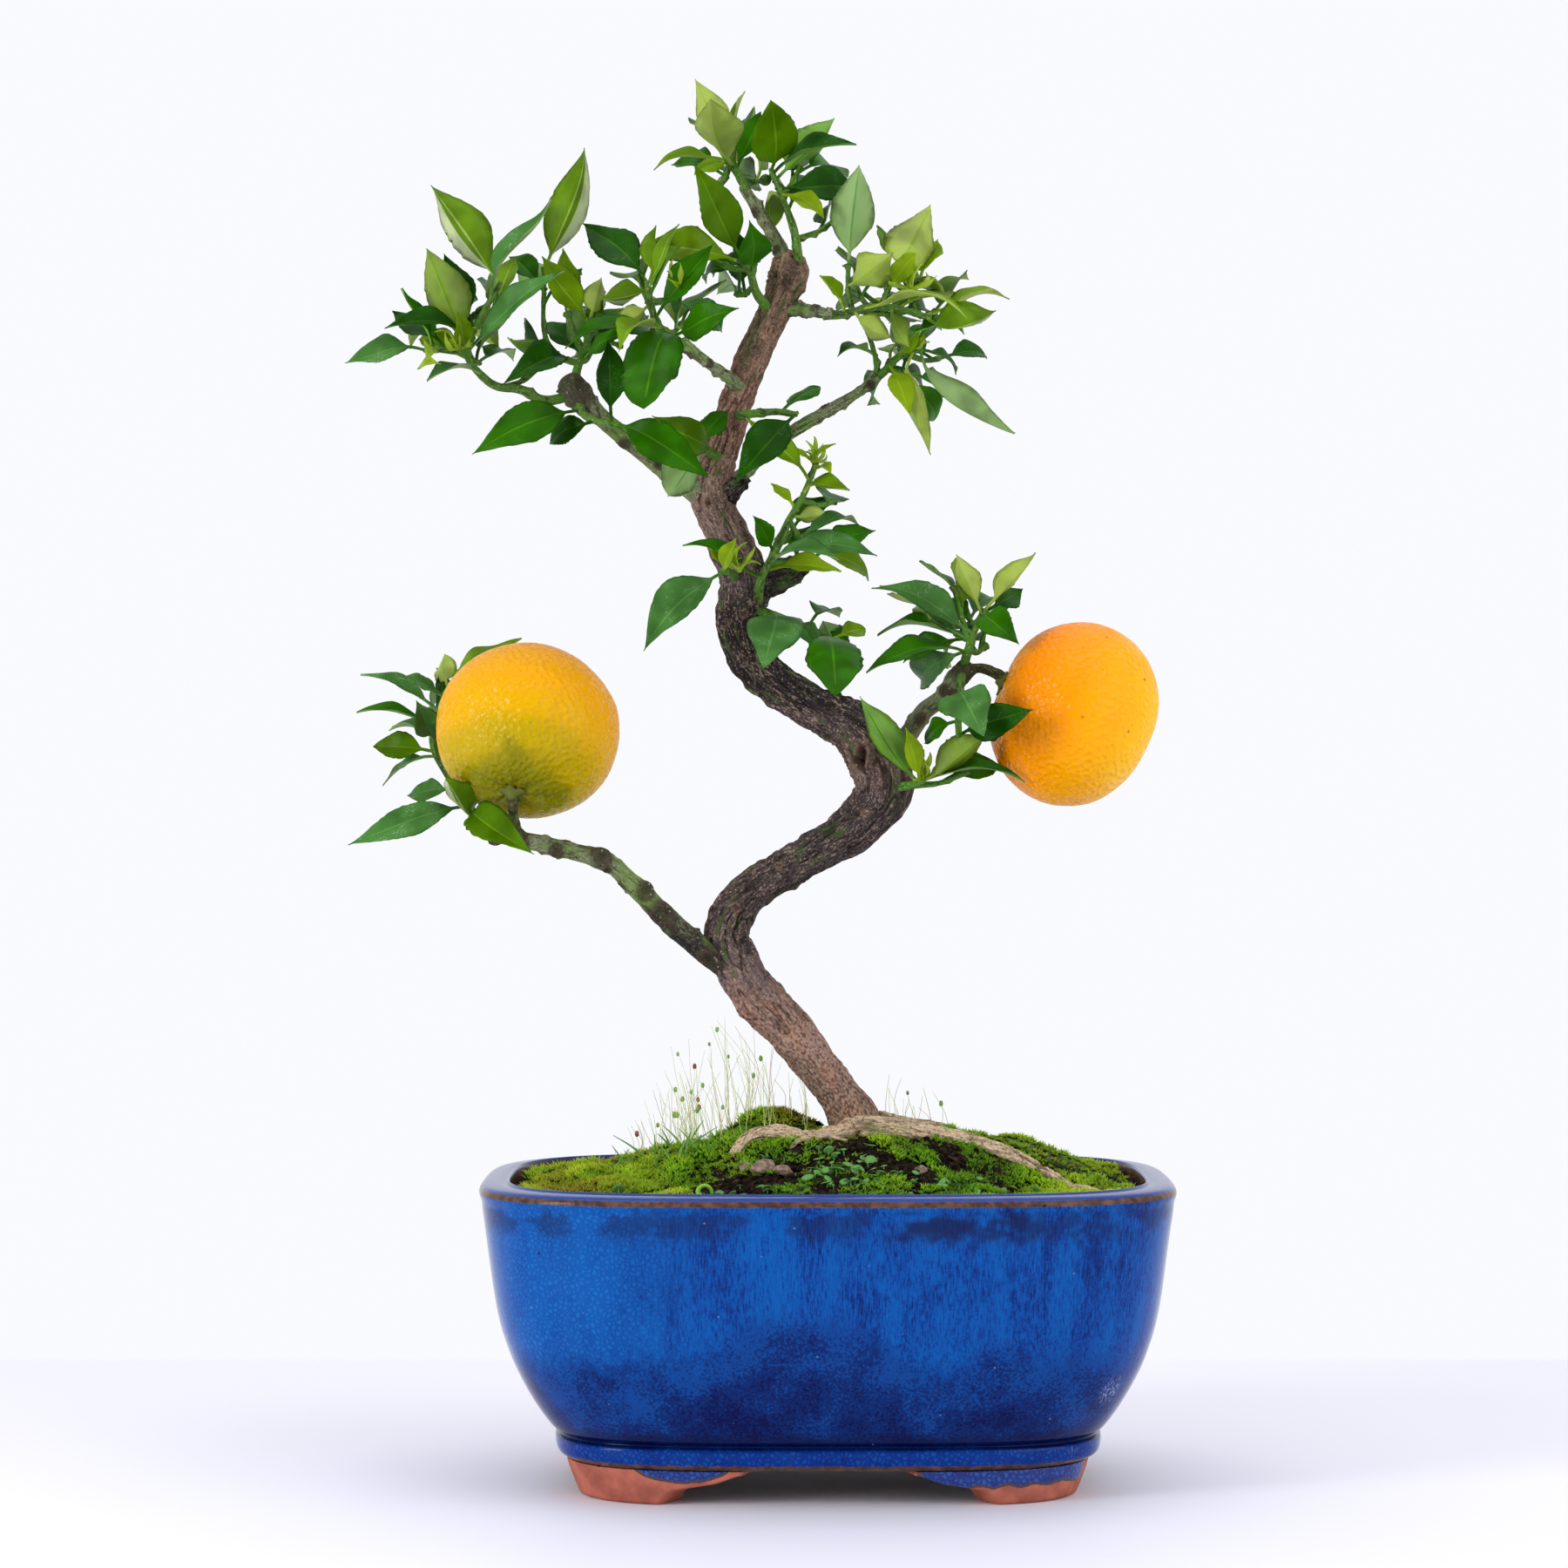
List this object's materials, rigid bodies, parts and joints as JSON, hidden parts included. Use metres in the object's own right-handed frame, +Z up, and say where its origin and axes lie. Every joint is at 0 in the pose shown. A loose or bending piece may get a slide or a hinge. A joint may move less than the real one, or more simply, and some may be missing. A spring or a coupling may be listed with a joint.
{
  "type": "chinotto orange bonsai",
  "caption": "Small citrus tree with an S-shaped trunk, leafy boughs and round fruit, growing from a mossy soil mound in a glazed rounded oblong pot on low feet.",
  "frame": {"origin": "middle of the whole object's box, on the surface it stands on; the pot's middle is 18 mm to +X", "axes": "+Z up, +X to the right as seen from the front, +Y to the back"},
  "size_m": [0.2346, 0.146, 0.4028],
  "materials": {
    "glaze": "glossy cobalt blue glaze with paler streaks and a brown edge line",
    "terracotta": "bare matt red-brown clay",
    "soil": "dark moist crumbly soil",
    "moss": "soft bright green moss",
    "bark": "grey-brown bark, darker and cracked in its middle",
    "green_bark": "grey-green young bark with knots",
    "orange_peel": "dimpled waxy orange peel",
    "leaf": "glossy green leaves, paler below"
  },
  "bodies": {
    "root": {"bough_apex": "green_bark", "bough_crown_inner": "green_bark", "bough_crown_left": "green_bark", "bough_crown_right": "green_bark", "bough_low_left": "green_bark", "bough_low_right": "green_bark", "bough_upper_right": "green_bark", "foot_back_left": "terracotta", "foot_back_right": "terracotta", "foot_front_left": "terracotta", "foot_front_right": "terracotta", "fruit_left": "orange_peel", "fruit_right": "orange_peel", "leaves_apex": "leaf", "leaves_apex_right": "leaf", "leaves_crown_inner": "leaf", "leaves_crown_left_low": "leaf", "leaves_crown_left_out": "leaf", "leaves_crown_left_top": "leaf", "leaves_crown_right": "leaf", "leaves_elbow": "leaf", "leaves_fork_left": "leaf", "leaves_fork_right": "leaf", "leaves_low_left": "leaf", "leaves_low_right": "leaf", "leaves_low_right_low": "leaf", "leaves_mid": "leaf", "leaves_mid_left": "leaf", "leaves_mid_low": "leaf", "leaves_upper_left": "leaf", "leaves_upper_right": "leaf", "moss_back": "moss", "moss_front": "moss", "moss_left": "moss", "moss_mound": "moss", "moss_right": "moss", "pot": "glaze", "soil": "soil", "trunk": "bark"}
  },
  "joints": []
}
